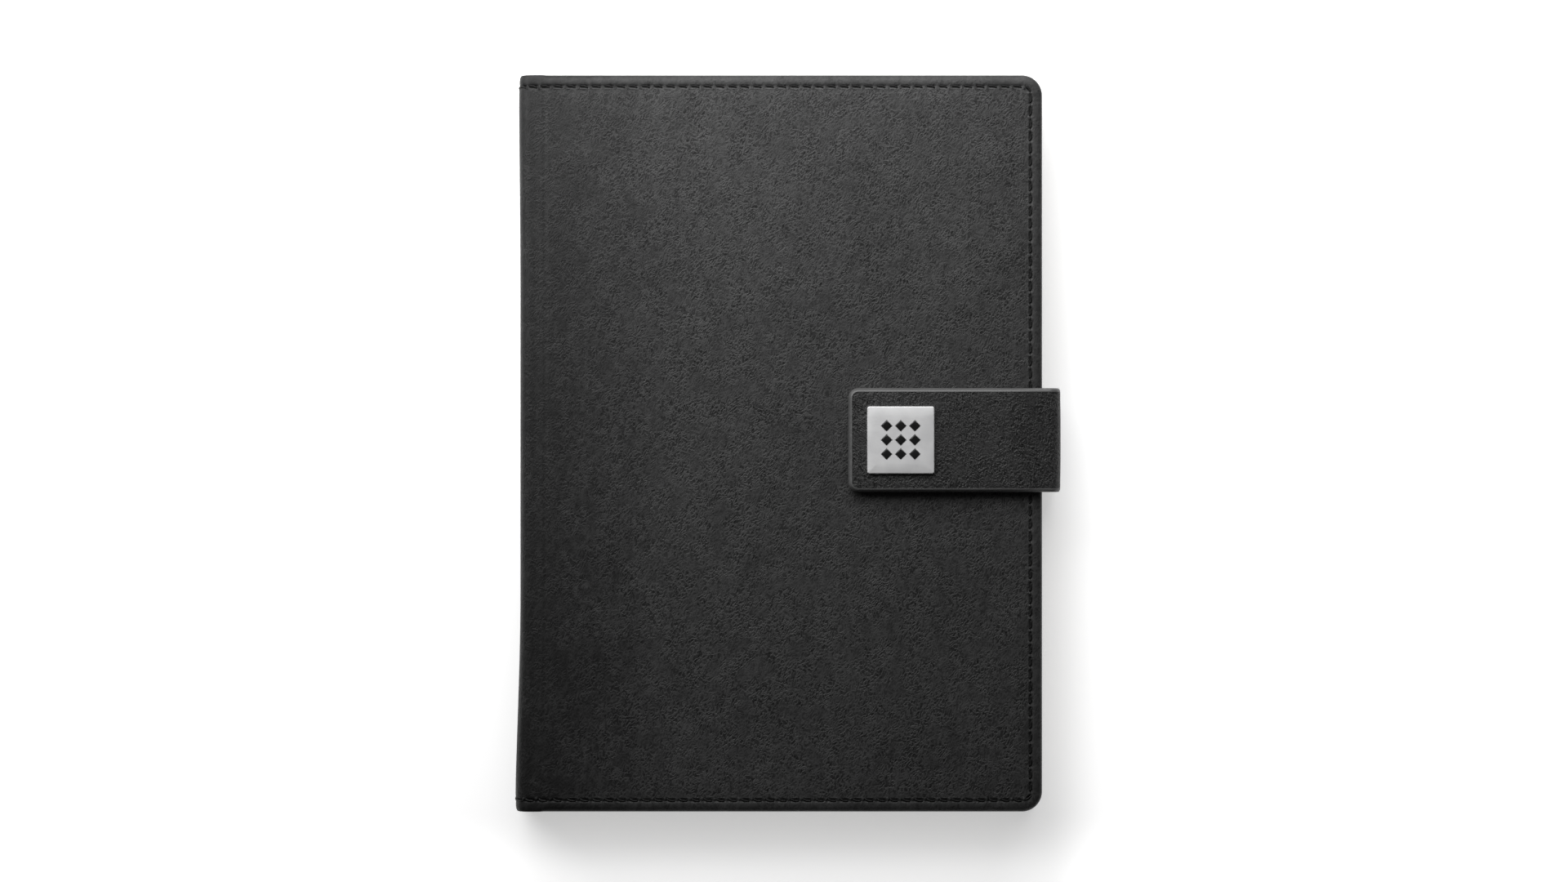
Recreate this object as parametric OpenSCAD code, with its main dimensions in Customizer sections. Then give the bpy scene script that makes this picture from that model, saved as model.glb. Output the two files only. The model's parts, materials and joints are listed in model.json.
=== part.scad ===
// Notebook cover with a magnetic strap, closed around a slip-in notebook.
// All sizes are in millimetres. The back cover lies on z = 0, its fore edge faces +X and its head
// faces +Y. The origin is the centre of the back cover's underside.
// The covers and the spine turn about lines parallel to Y, so most parts are drawn as a section
// in X and Z and pulled out along Y. The front cover is the back cover's stack, turned over.

/* [Cover] */
// Width of the closed cover, from the spine's face to the fore edge
cover_w = 156; // [156:1:164]
// Height of the cover, from tail to head
cover_h = 220; // [218:1:236]
// Radius of the two fore-edge corners
corner_r = 6; // [5:0.5:9]
// Outer radius of the leather where it turns from a cover into the spine
fold_r = 4; // [3.6:0.1:4]
// Length of the soft hinge between the fold and the cover board
hinge_gap = 4; // [3:0.5:6]

/* [Cover layers] */
// Thickness of the outer leather
leather_t = 1.2; // [1:0.1:1.4]
// Thickness of the foam under the leather
foam_t = 0.8; // [0.6:0.1:1]
// Thickness of the cover board
board_t = 1.4; // [1.4:0.1:2]
// Thickness of the lining
lining_t = 0.6; // [0.4:0.1:0.8]
// Thickness of the stiffener in the spine
spine_board_t = 0.8; // [0.6:0.1:1]
// Thickness of one pocket layer
pocket_t = 0.5; // [0.4:0.1:0.6]

/* [Stitching] */
// Distance from the cover's edge to the seam
seam_inset = 3.5; // [3.3:0.1:3.7]
// Distance from one stitch to the next
stitch_pitch = 3.7; // [3:0.1:5]
// Length of a stitch that shows
stitch_l = 2.9; // [2:0.1:3]
// Width of the thread
thread_w = 0.6; // [0.4:0.1:0.8]

/* [Notebook] */
// Width of a page
page_w = 148; // [146:1:148]
// Height of a page
page_h = 210; // [200:1:210]
// Thickness of one sewn section of pages
section_t = 1.2; // [0.8:0.1:1.2]
// Sections that stay on the back cover
rear_sections = 5; // [3:1:6]
// Sections that turn with the front cover
front_sections = 2; // [1:1:2]
// Thickness of the notebook's two cards
card_t = 0.45; // [0.4:0.05:0.5]

/* [Strap] */
// Width of the strap
strap_w = 31; // [24:1:36]
// Height of the strap's middle above the cover's middle
strap_y = 1; // [-10:1:10]
// Place of the strap's tip, measured from the cover's middle
strap_tip_x = 20; // [5:1:24]
// Distance that the strap stands out past the fore edge
strap_reach = 5.5; // [5.3:0.1:6]
// Thickness of the strap's outer leather
strap_outer_t = 1.1; // [1:0.1:1.1]
// Thickness of the strap's inner leather
strap_inner_t = 0.9; // [0.8:0.1:0.9]
// Thickness of the stiffener in the strap's tab
tab_core_t = 1.6; // [1.4:0.1:2]
// Radius of the tab's two corners
tab_corner_r = 3; // [2:0.5:5]

/* [Badge and magnets] */
// Side of the square badge
badge_side = 20; // [20:1:22]
// Thickness of the badge
badge_t = 1; // [0.8:0.1:1.4]
// Distance from the strap's tip to the badge
badge_margin = 5.6; // [4:0.1:7]
// Side of one enamel lozenge, from point to point
lozenge = 3.6; // [2:0.2:4]
// Diameter of each magnet
magnet_d = 16; // [10:1:16]

/* [Hidden] */
$fn = 96;
half_w = cover_w / 2;
half_h = cover_h / 2;
panel_t = leather_t + foam_t + board_t + lining_t;
// Room left between layers that only lie on each other
slip = 0.05;
// Room between the notebook and the pockets of the front cover
pocket_room = 0.3;
pocket_layers = 4;
sleeve_z = panel_t + slip + card_t + slip;
pages_z = sleeve_z + pocket_t + slip;
leaf_hinge_z = pages_z + rear_sections * section_t + slip;
front_pages_z = leaf_hinge_z + slip;
front_card_z = front_pages_z + front_sections * section_t + slip;
cover_t = front_card_z + card_t + pocket_room + pocket_layers * pocket_t + panel_t;

// The fold: the leather turns through a quarter circle of radius fold_r at each edge of the
// spine, and the cover hinges where the quarter circle is cut in two.
fold_x = -half_w + fold_r;
board_x = fold_x + hinge_gap;
// Gap between the two halves of a cut fold
fold_cut = 0.3;
spine_inner_x = -half_w + leather_t + spine_board_t + lining_t;

// The leather's edge is turned over by turn_t, and shows lip_w wide beside the lining.
turn_t = leather_t;
lip_w = 1.6;
groove_w = 1;
groove_d = 0.45;
// Depth of the thread's top below the leather's face
thread_sink = 0.08;
thread_h = groove_d - thread_sink;
seam_x = half_w - seam_inset;
seam_y = half_h - seam_inset;
seam_corner_r = 2.5;
// The stitch across a corner is short, so that it stays inside the curved groove.
corner_stitch_l = 1.9;

// The notebook stands 0.4 mm clear of the spine's lining.
tape_t = 0.4;
tape_x = spine_inner_x + 0.4;
page_x = tape_x + tape_t;
page_end_x = page_x + page_w;

// Pockets of the front cover and the sleeve of the back cover
pocket_x = -22;
sleeve_x = 5;
card_slot_x0 = -19;
card_slot_x1 = 72;
card_slot_y0 = -103;
card_slot_top = -28;
card_slot_step = 14;
card_slots = pocket_layers - 1;

// The strap: a tongue in the back cover, a bend, the riser, a second bend and the tab.
strap_t = strap_outer_t + strap_inner_t;
bend_outer_r = 3.5;
bend_inner_r = bend_outer_r - strap_t;
bend_mid_r = bend_outer_r - strap_outer_t;
riser_x = half_w + strap_reach;
bend_x = riser_x - bend_outer_r;
stub_z = 1.7;
low_bend_z = stub_z + bend_outer_r;
tab_z = cover_t + 0.2;
high_bend_z = tab_z - bend_inner_r;
tab_skin_z = tab_z + strap_inner_t;
tab_top_z = tab_skin_z + tab_core_t + strap_outer_t;
tab_core_end = strap_tip_x + 44;
tab_slope_l = 7;
tongue_z0 = leather_t + foam_t;
tongue_z1 = panel_t - lining_t;
tongue_l = 23;

badge_x = strap_tip_x + badge_margin + badge_side / 2;
stud_r = 1;
stud_off = badge_side / 2 - 2.8;
washer_r = 2.1;
washer_t = 0.4;
recess_d = 0.3;
lozenge_pitch = 4.2;

leather_colour = [0.16, 0.16, 0.165];
lining_colour = [0.20, 0.20, 0.21];
pocket_colour = [0.18, 0.18, 0.19];
board_colour = [0.62, 0.58, 0.52];
foam_colour = [0.85, 0.85, 0.80];
thread_colour = [0.05, 0.05, 0.05];
paper_colour = [0.95, 0.94, 0.89];
card_colour = [0.12, 0.12, 0.13];
edge_colour = [0.35, 0.35, 0.36];
steel_colour = [0.72, 0.73, 0.75];
badge_colour = [0.78, 0.78, 0.78];

// ---- Helpers ----

// Pulls a section drawn in X and Z out along Y, from y0 to y1.
module along_y(y0, y1) {
    translate([0, y1, 0]) rotate([90, 0, 0]) linear_extrude(y1 - y0) children();
}

// Turns a panel of the back cover over, so that it becomes a panel of the front cover.
module turned_over() {
    translate([0, 0, cover_t]) mirror([0, 0, 1]) children();
}

// Outline of a panel whose two corners at the fore edge are rounded.
module panel_outline(x0, x1, h, r) {
    translate([x0, -h / 2]) square([x1 - r - x0, h]);
    translate([x0, -h / 2 + r]) square([x1 - x0, h - 2 * r]);
    for (side = [-1, 1]) translate([x1 - r, side * (h / 2 - r)]) circle(r);
}

// A flat panel between two heights, inset from the cover's edge at head, tail and fore edge.
module inset_panel(x0, inset, z0, z1) {
    translate([0, 0, z0]) linear_extrude(z1 - z0)
        panel_outline(x0, half_w - inset, cover_h - 2 * inset, corner_r - inset);
}

// One sector of a ring about a point, between two angles less than 90 degrees apart.
module ring_sector(centre, r_in, r_out, a0, a1) {
    far = 2 * r_out;
    translate(centre) intersection() {
        difference() {
            circle(r_out);
            circle(r_in);
        }
        polygon([[0, 0], far * [cos(a0), sin(a0)], far * [cos(a1), sin(a1)]]);
    }
}

// Half the angle that fold_cut takes out of a ring of radius r
function cut_angle(r) = asin(fold_cut / 2 / r);

// ---- Stitches ----

// One stitch along X, centred on its place and standing on it.
module stitch(l, h) {
    translate([-l / 2, -thread_w / 2, 0]) cube([l, thread_w, h]);
}

// One row of stitches between two points of the seam, lying between two heights.
module stitch_row(from, to, z0, z1) {
    way = to - from;
    count = floor(norm(way) / stitch_pitch);
    heading = atan2(way[1], way[0]);
    for (i = [0 : count - 1]) {
        place = from + way * (i + 0.5) / count;
        translate([place[0], place[1], z0]) rotate([0, 0, heading]) stitch(stitch_l, z1 - z0);
    }
}

// The rows along head, fore edge and tail, with one stitch across each corner. They start at x0.
module seam_stitches(x0, z0, z1) {
    corner_x = seam_x - seam_corner_r;
    corner_y = seam_y - seam_corner_r;
    for (side = [-1, 1]) {
        stitch_row([x0, side * seam_y], [corner_x - 0.4, side * seam_y], z0, z1);
        mid = [corner_x, side * corner_y] + seam_corner_r * [cos(45), side * sin(45)];
        translate([mid[0], mid[1], z0]) rotate([0, 0, -side * 45])
            stitch(corner_stitch_l, z1 - z0);
    }
    stitch_row([seam_x, -corner_y + 0.4], [seam_x, corner_y - 0.4], z0, z1);
}

// The groove that the outer thread lies in, cut into the leather's outer face.
module seam_groove() {
    reach = groove_w / 2;
    translate([0, 0, -1]) linear_extrude(1 + groove_d) difference() {
        panel_outline(fold_x - 1, seam_x + reach, 2 * (seam_y + reach), seam_corner_r + reach);
        panel_outline(fold_x - 2, seam_x - reach, 2 * (seam_y - reach), seam_corner_r - reach);
    }
}

// ---- Cover panels, drawn for the back cover with the outer face at z = 0 ----

// The outer leather: a face, an edge turned in at head, tail and fore edge, and half of the fold.
module cover_leather() {
    difference() {
        inset_panel(fold_x, 0, 0, panel_t);
        inset_panel(fold_x - 1, turn_t, leather_t, panel_t - lining_t);
        inset_panel(fold_x - 1, lip_w, panel_t - lining_t - 1, panel_t + 1);
        seam_groove();
    }
    along_y(-half_h, half_h) ring_sector(
        [fold_x, fold_r], fold_r - leather_t, fold_r, 225 + cut_angle(fold_r), 270);
}

module cover_foam() {
    inset_panel(board_x, turn_t, leather_t, leather_t + foam_t);
}

module cover_board() {
    inset_panel(board_x, turn_t, leather_t + foam_t, panel_t - lining_t);
}

// The lining: over the board, down its inner edge and out along the leather of the hinge.
module cover_lining() {
    hinge_z = leather_t + lining_t;
    intersection() {
        along_y(-half_h, half_h) {
            translate([board_x - lining_t, panel_t - lining_t])
                square([half_w - board_x, lining_t]);
            translate([board_x - lining_t, leather_t])
                square([lining_t, panel_t - leather_t]);
            translate([fold_x + 0.1, leather_t])
                square([board_x - fold_x - 0.1, hinge_z - leather_t]);
        }
        inset_panel(fold_x, lip_w, 0, panel_t + 1);
    }
}

module magnet(x, z0, z1) {
    translate([x, strap_y, z0]) cylinder(d = magnet_d, h = z1 - z0);
}

// ---- Back cover ----

module back_leather() {
    color(leather_colour) difference() {
        cover_leather();
        // Slot in the turned edge that the strap comes out of
        translate([half_w - turn_t - 1, strap_y - strap_w / 2, tongue_z0])
            cube([turn_t + 2, strap_w, tongue_z1 - tongue_z0]);
    }
}

module back_foam() {
    color(foam_colour) cover_foam();
}

module back_board() {
    color(board_colour) difference() {
        cover_board();
        // Notch that the strap's tongue is glued into
        translate([half_w - tongue_l, strap_y - strap_w / 2, tongue_z0 - 1])
            cube([tongue_l, strap_w, board_t + 2]);
    }
}

module back_lining() {
    color(lining_colour) cover_lining();
}

// The sleeve that holds the notebook's back card. It is open towards the spine.
module back_sleeve() {
    color(pocket_colour) difference() {
        inset_panel(sleeve_x, lip_w, panel_t, sleeve_z + pocket_t);
        translate([sleeve_x - 1, -page_h / 2 - 0.2, panel_t - 1])
            cube([page_end_x + 0.2 - sleeve_x + 1, page_h + 0.4, sleeve_z - panel_t + 1]);
    }
}

module back_outer_stitches() {
    color(thread_colour) seam_stitches(fold_x, thread_sink, groove_d);
}

module back_inner_stitches() {
    level = panel_t;
    color(thread_colour) {
        intersection() {
            seam_stitches(fold_x, level, level + thread_h);
            translate([board_x, -half_h, level]) cube([sleeve_x - board_x, cover_h, 1]);
        }
        intersection() {
            seam_stitches(fold_x, sleeve_z + pocket_t, sleeve_z + pocket_t + thread_h);
            translate([sleeve_x, -half_h, level]) cube([half_w, cover_h, 3]);
        }
    }
}

// The tongue lies in the back board. Outside the edge it is the strap, up to half of the bend.
module strap_tongue() {
    y0 = strap_y - strap_w / 2;
    color(edge_colour) {
        translate([half_w - tongue_l, y0, tongue_z0])
            cube([tongue_l, strap_w, tongue_z1 - tongue_z0]);
        along_y(y0, y0 + strap_w) {
            translate([half_w, stub_z]) square([bend_x - half_w, strap_t]);
            ring_sector([bend_x, low_bend_z], bend_inner_r, bend_outer_r,
                270, 315 - cut_angle(bend_outer_r));
        }
    }
}

// ---- Notebook ----

module leaf_block(z, t) {
    translate([page_x, -page_h / 2, z]) cube([page_w, page_h, t]);
}

module page_sections(count, z) {
    for (i = [0 : count - 1]) leaf_block(z + i * section_t, section_t - 0.04);
}

module notebook_back_card() {
    color(card_colour) leaf_block(panel_t + slip, card_t);
}

module notebook_rear_sections() {
    color(paper_colour) page_sections(rear_sections, pages_z);
}

module notebook_front_sections() {
    color(paper_colour) page_sections(front_sections, front_pages_z);
}

module notebook_front_card() {
    color(card_colour) leaf_block(front_card_z, card_t);
}

module notebook_binding_tape() {
    color(card_colour) translate([tape_x, -page_h / 2, panel_t + slip])
        cube([tape_t, page_h, leaf_hinge_z - panel_t - 2 * slip]);
}

// ---- Spine ----

// The leather of the spine, with half of a fold at each end
module spine_leather() {
    color(leather_colour) difference() {
        along_y(-half_h, half_h) {
            translate([-half_w, fold_r]) square([leather_t, cover_t - 2 * fold_r]);
            ring_sector([fold_x, fold_r], fold_r - leather_t, fold_r,
                180, 225 - cut_angle(fold_r));
            ring_sector([fold_x, cover_t - fold_r], fold_r - leather_t, fold_r,
                135 + cut_angle(fold_r), 180);
        }
        for (side = [-1, 1])
            translate([-half_w - 1, side * seam_y - groove_w / 2, fold_r])
                cube([1 + groove_d, groove_w, cover_t - 2 * fold_r]);
    }
}

module spine_layer(x, t, end_room, inset) {
    translate([x, -half_h + inset, fold_r + end_room])
        cube([t, cover_h - 2 * inset, cover_t - 2 * fold_r - 2 * end_room]);
}

module spine_board() {
    color(board_colour) spine_layer(-half_w + leather_t, spine_board_t, 0.6, turn_t);
}

module spine_lining() {
    color(lining_colour) spine_layer(-half_w + leather_t + spine_board_t, lining_t, 0.4, lip_w);
}

module spine_stitches() {
    length = cover_t - 2 * fold_r;
    count = floor(length / stitch_pitch);
    color(thread_colour) for (side = [-1, 1], i = [0 : count - 1])
        translate([-half_w + thread_sink, side * seam_y - thread_w / 2,
            fold_r + length * (i + 0.5) / count - stitch_l / 2])
            cube([thread_h, thread_w, stitch_l]);
}

// ---- Front cover ----

module front_leather() {
    color(leather_colour) turned_over() cover_leather();
}

module front_foam() {
    color(foam_colour) turned_over() cover_foam();
}

// The board has a round seat for the magnet that catches the strap.
module front_board() {
    color(board_colour) turned_over() difference() {
        cover_board();
        magnet_seat(badge_x, leather_t + foam_t - 1, panel_t);
    }
}

module magnet_seat(x, z0, z1) {
    translate([x, strap_y, z0]) cylinder(d = magnet_d + 0.2, h = z1 - z0);
}

module front_catch_magnet() {
    color(steel_colour) turned_over()
        magnet(badge_x, leather_t + foam_t, panel_t - lining_t);
}

module front_lining() {
    color(lining_colour) turned_over() cover_lining();
}

// A pocket as high as the cover, open towards the spine
module front_slip_pocket() {
    color(pocket_colour) turned_over()
        inset_panel(pocket_x, lip_w, panel_t, panel_t + pocket_t);
}

// Card slots lie on the slip pocket. Each is shorter than the one under it.
module card_slot(i) {
    top = card_slot_top - i * card_slot_step;
    color(pocket_colour) turned_over()
        translate([card_slot_x0, card_slot_y0, panel_t + (i + 1) * pocket_t])
            cube([card_slot_x1 - card_slot_x0, top - card_slot_y0, pocket_t]);
}

module front_outer_stitches() {
    color(thread_colour) turned_over() seam_stitches(fold_x, thread_sink, groove_d);
}

module front_inner_stitches() {
    color(thread_colour) turned_over() {
        intersection() {
            seam_stitches(fold_x, panel_t, panel_t + thread_h);
            translate([board_x, -half_h, panel_t]) cube([pocket_x - board_x, cover_h, 1]);
        }
        intersection() {
            seam_stitches(fold_x, panel_t + pocket_t, panel_t + pocket_t + thread_h);
            translate([pocket_x, -half_h, panel_t]) cube([half_w + 30, cover_h, 3]);
        }
    }
}

// The card slots are sewn down beside their two upright edges, which stand clear of the layers.
module card_slot_stitches() {
    z = panel_t + pocket_t;
    color(thread_colour) turned_over() for (x = [card_slot_x0 - 0.5, card_slot_x1 + 0.5])
        stitch_row([x, card_slot_y0], [x, card_slot_top], z, z + 0.3);
}

// ---- Strap ----

// A section of the strap pulled out to the strap's width, less an inset at each side.
module strap_section(inset) {
    along_y(strap_y - strap_w / 2 + inset, strap_y + strap_w / 2 - inset) children();
}

module riser_layer(r_in, r_out) {
    cut = cut_angle(bend_outer_r);
    strap_section(0) {
        translate([bend_x + r_in, low_bend_z]) square([r_out - r_in, high_bend_z - low_bend_z]);
        ring_sector([bend_x, low_bend_z], r_in, r_out, 315 + cut, 360);
        ring_sector([bend_x, high_bend_z], r_in, r_out, 0, 45 - cut);
    }
}

module strap_riser_outer() {
    color(leather_colour) riser_layer(bend_mid_r, bend_outer_r);
}

module strap_riser_inner() {
    color(lining_colour) riser_layer(bend_inner_r, bend_mid_r);
}

// Plan of the tab, with its two corners rounded, between two heights
module tab_plan(inset, z0, z1) {
    r = tab_corner_r - inset;
    x0 = strap_tip_x + inset;
    w = strap_w - 2 * inset;
    translate([0, strap_y, z0]) linear_extrude(z1 - z0) {
        translate([x0 + r, -w / 2]) square([riser_x - x0, w]);
        translate([x0, -w / 2 + r]) square([riser_x - x0, w - 2 * r]);
        for (side = [-1, 1]) translate([x0 + r, side * (w / 2 - r)]) circle(r);
    }
}

// Section of the stiffener: flat, then a slope down to where the two leathers meet
module core_section() {
    polygon([
        [strap_tip_x, tab_skin_z], [tab_core_end + tab_slope_l, tab_skin_z],
        [tab_core_end, tab_skin_z + tab_core_t], [strap_tip_x, tab_skin_z + tab_core_t]
    ]);
}

module core_solid() {
    intersection() {
        strap_section(0) core_section();
        tab_plan(turn_t, tab_skin_z - 1, tab_top_z);
    }
}

// Places a child at each of the badge's four studs.
module at_studs(z) {
    for (dx = [-1, 1], dy = [-1, 1])
        translate([badge_x + dx * stud_off, strap_y + dy * stud_off, z]) children();
}

module strap_tab_outer() {
    color(leather_colour) difference() {
        intersection() {
            strap_section(0) {
                polygon([
                    [strap_tip_x, tab_skin_z], [bend_x, tab_skin_z],
                    [bend_x, tab_skin_z + strap_outer_t],
                    [tab_core_end + tab_slope_l + 0.5, tab_skin_z + strap_outer_t],
                    [tab_core_end + 0.5, tab_top_z], [strap_tip_x, tab_top_z]
                ]);
                ring_sector([bend_x, high_bend_z], bend_mid_r, bend_outer_r,
                    45 + cut_angle(bend_outer_r), 90);
            }
            tab_plan(0, high_bend_z, tab_top_z + 1);
        }
        core_solid();
        at_studs(tab_skin_z) cylinder(r = stud_r + 0.1, h = tab_top_z);
    }
}

module strap_tab_inner() {
    color(lining_colour) intersection() {
        strap_section(0) {
            translate([strap_tip_x, tab_z]) square([bend_x - strap_tip_x, strap_inner_t]);
            ring_sector([bend_x, high_bend_z], bend_inner_r, bend_mid_r,
                45 + cut_angle(bend_outer_r), 90);
        }
        tab_plan(0, high_bend_z, tab_top_z);
    }
}

module strap_tab_core() {
    color(board_colour) difference() {
        core_solid();
        magnet_seat(badge_x, tab_skin_z - 1, tab_top_z);
        at_studs(tab_skin_z - 1) cylinder(r = stud_r + 0.1, h = 5);
        at_studs(tab_skin_z - 1) cylinder(r = washer_r + 0.1, h = 1 + washer_t + slip);
    }
}

module strap_magnet() {
    color(steel_colour) magnet(badge_x, tab_skin_z, tab_skin_z + tab_core_t);
}

// ---- Badge ----

// Nine lozenges in three rows, reaching down by t from the badge's face
module lozenge_pattern(t) {
    side = lozenge / sqrt(2);
    for (i = [-1 : 1], j = [-1 : 1])
        translate([badge_x + i * lozenge_pitch, strap_y + j * lozenge_pitch, tab_top_z + badge_t - t])
            rotate([0, 0, 45]) translate([-side / 2, -side / 2, 0]) cube([side, side, t]);
}

module badge_plate() {
    color(badge_colour) {
        difference() {
            translate([badge_x - badge_side / 2, strap_y - badge_side / 2, tab_top_z])
                cube([badge_side, badge_side, badge_t]);
            translate([0, 0, 1]) lozenge_pattern(recess_d + 1);
        }
        at_studs(tab_skin_z + slip) cylinder(r = stud_r, h = tab_top_z - tab_skin_z);
    }
}

module badge_enamel() {
    color(thread_colour) translate([0, 0, -slip]) lozenge_pattern(recess_d - slip);
}

// Push-on washers that hold the studs inside the tab
module badge_washers() {
    color(steel_colour) at_studs(tab_skin_z) difference() {
        cylinder(r = washer_r, h = washer_t);
        translate([0, 0, -1]) cylinder(r = stud_r, h = washer_t + 2);
    }
}

// ---- Nodes ----

back_leather();
back_foam();
back_board();
back_lining();
back_sleeve();
back_outer_stitches();
back_inner_stitches();
notebook_back_card();
notebook_rear_sections();
notebook_binding_tape();
strap_tongue();
spine_leather();
spine_board();
spine_lining();
spine_stitches();
front_leather();
front_foam();
front_board();
front_catch_magnet();
front_lining();
front_slip_pocket();
card_slot(0);  // card_slot_upper
card_slot(1);  // card_slot_middle
card_slot(2);  // card_slot_lower
front_outer_stitches();
front_inner_stitches();
card_slot_stitches();
notebook_front_sections();
notebook_front_card();
strap_riser_outer();
strap_riser_inner();
strap_tab_outer();
strap_tab_inner();
strap_tab_core();
strap_magnet();
badge_plate();
badge_enamel();
badge_washers();
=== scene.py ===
"""The looks of a stitched leather notebook cover with a magnetic strap.

Leather, card and paper are built the way they are made: as flat sheets whose edges are rolled and whose
seams are pressed in, and which are then folded round the spine or the strap's bends. Shapes are worked
out in millimetres, and a finished piece is in metres, in the frame's own place.
"""
import json
import math
import random

import bmesh
import bpy
from mathutils import Matrix, Vector, noise
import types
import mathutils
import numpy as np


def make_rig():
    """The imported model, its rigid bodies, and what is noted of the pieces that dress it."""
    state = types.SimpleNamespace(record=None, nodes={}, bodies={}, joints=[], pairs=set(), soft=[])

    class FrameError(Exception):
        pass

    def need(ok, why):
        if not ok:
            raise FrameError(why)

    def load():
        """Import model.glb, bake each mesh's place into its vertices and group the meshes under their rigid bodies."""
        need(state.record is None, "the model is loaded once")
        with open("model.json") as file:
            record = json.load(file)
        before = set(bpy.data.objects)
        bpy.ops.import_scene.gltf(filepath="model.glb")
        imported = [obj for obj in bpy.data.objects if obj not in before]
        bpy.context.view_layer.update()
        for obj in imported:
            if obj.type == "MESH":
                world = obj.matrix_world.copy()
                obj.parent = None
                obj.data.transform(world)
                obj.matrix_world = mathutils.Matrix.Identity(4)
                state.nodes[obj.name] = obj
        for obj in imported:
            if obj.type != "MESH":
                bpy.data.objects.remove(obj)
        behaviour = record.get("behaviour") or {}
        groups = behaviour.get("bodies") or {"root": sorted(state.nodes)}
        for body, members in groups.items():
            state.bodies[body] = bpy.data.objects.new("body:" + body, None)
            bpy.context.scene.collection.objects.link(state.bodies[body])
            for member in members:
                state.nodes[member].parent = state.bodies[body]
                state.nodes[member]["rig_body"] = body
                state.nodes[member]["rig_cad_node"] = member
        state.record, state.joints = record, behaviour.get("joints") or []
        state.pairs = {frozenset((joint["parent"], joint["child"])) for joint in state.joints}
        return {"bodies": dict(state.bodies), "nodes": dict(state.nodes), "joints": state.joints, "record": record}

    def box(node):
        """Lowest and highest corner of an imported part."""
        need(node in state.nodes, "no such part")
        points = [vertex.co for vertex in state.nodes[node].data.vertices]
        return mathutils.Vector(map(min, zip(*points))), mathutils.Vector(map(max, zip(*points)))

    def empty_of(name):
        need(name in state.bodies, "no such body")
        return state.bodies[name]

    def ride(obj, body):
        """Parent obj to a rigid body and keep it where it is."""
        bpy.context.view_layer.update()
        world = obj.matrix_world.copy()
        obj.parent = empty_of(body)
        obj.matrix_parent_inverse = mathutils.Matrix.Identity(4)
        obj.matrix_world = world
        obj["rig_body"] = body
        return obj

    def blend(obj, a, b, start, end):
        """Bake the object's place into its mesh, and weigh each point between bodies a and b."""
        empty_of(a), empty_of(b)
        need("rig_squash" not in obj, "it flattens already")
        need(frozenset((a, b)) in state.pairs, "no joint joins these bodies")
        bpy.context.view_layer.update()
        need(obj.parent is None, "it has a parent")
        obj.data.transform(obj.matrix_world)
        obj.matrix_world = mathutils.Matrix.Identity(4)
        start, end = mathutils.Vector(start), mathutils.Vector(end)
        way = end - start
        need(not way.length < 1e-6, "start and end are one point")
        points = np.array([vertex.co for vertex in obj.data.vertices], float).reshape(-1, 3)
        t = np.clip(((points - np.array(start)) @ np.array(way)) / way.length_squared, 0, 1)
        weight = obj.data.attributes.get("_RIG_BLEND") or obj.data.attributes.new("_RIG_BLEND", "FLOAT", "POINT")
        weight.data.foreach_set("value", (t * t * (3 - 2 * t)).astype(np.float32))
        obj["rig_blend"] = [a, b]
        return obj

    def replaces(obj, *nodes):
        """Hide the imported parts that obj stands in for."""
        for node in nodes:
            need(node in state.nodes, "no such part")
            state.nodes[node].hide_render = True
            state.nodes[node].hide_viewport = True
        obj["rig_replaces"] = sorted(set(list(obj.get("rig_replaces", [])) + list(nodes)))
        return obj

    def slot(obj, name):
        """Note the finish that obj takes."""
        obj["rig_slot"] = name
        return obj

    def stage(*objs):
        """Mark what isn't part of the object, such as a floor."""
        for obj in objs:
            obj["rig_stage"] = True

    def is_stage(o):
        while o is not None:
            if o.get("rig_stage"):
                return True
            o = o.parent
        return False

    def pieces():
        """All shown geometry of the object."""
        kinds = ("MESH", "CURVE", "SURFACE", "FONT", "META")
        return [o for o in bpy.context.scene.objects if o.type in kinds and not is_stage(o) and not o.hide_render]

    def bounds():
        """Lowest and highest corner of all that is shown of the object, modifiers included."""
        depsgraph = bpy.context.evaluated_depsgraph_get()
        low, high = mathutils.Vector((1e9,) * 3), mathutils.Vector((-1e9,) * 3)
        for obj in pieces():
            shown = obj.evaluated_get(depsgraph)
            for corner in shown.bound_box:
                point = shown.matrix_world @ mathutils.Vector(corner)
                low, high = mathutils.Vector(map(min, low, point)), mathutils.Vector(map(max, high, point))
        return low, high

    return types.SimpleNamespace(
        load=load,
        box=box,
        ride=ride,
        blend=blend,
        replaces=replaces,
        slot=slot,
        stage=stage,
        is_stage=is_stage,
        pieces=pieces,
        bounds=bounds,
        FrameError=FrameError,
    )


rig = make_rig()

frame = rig.load()
cad_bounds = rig.bounds()

MM = 0.001
QUARTER = math.pi / 2


def node_box(node):
    """The lowest and highest corner of a CAD node, in millimetres."""
    low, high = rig.box(node)
    return Vector(low) / MM, Vector(high) / MM


# ---- Sizes, from the frame ----

HALF_W, HALF_H = node_box("back_leather")[1].xy
COVER_T = node_box("front_leather")[1].z
PANEL_T = node_box("back_lining")[1].z
SPINE_T = node_box("spine_lining")[1].x + HALF_W
HINGE_T = 2.2
CORNER_R = 6.0
FOLD_R = 4.0
SPINE_FLAT = COVER_T / 2 - FOLD_R
PANEL_S = SPINE_FLAT + FOLD_R * QUARTER
FOLD_X = -HALF_W + FOLD_R
SKIN_L = PANEL_S + HALF_W - FOLD_X
BOARD_S = PANEL_S + node_box("back_foam")[0].x - FOLD_X

SEAM = 3.5
SEAM_CORNER = 2.5
PITCH = 3.71
STITCH_L = 3.05
THREAD_D = 0.6
LIP = 1.6
LINING_T = 0.55
EDGE_REACH = 2.7
SHOULDER = 0.2
GROOVE = 0.36

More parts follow.
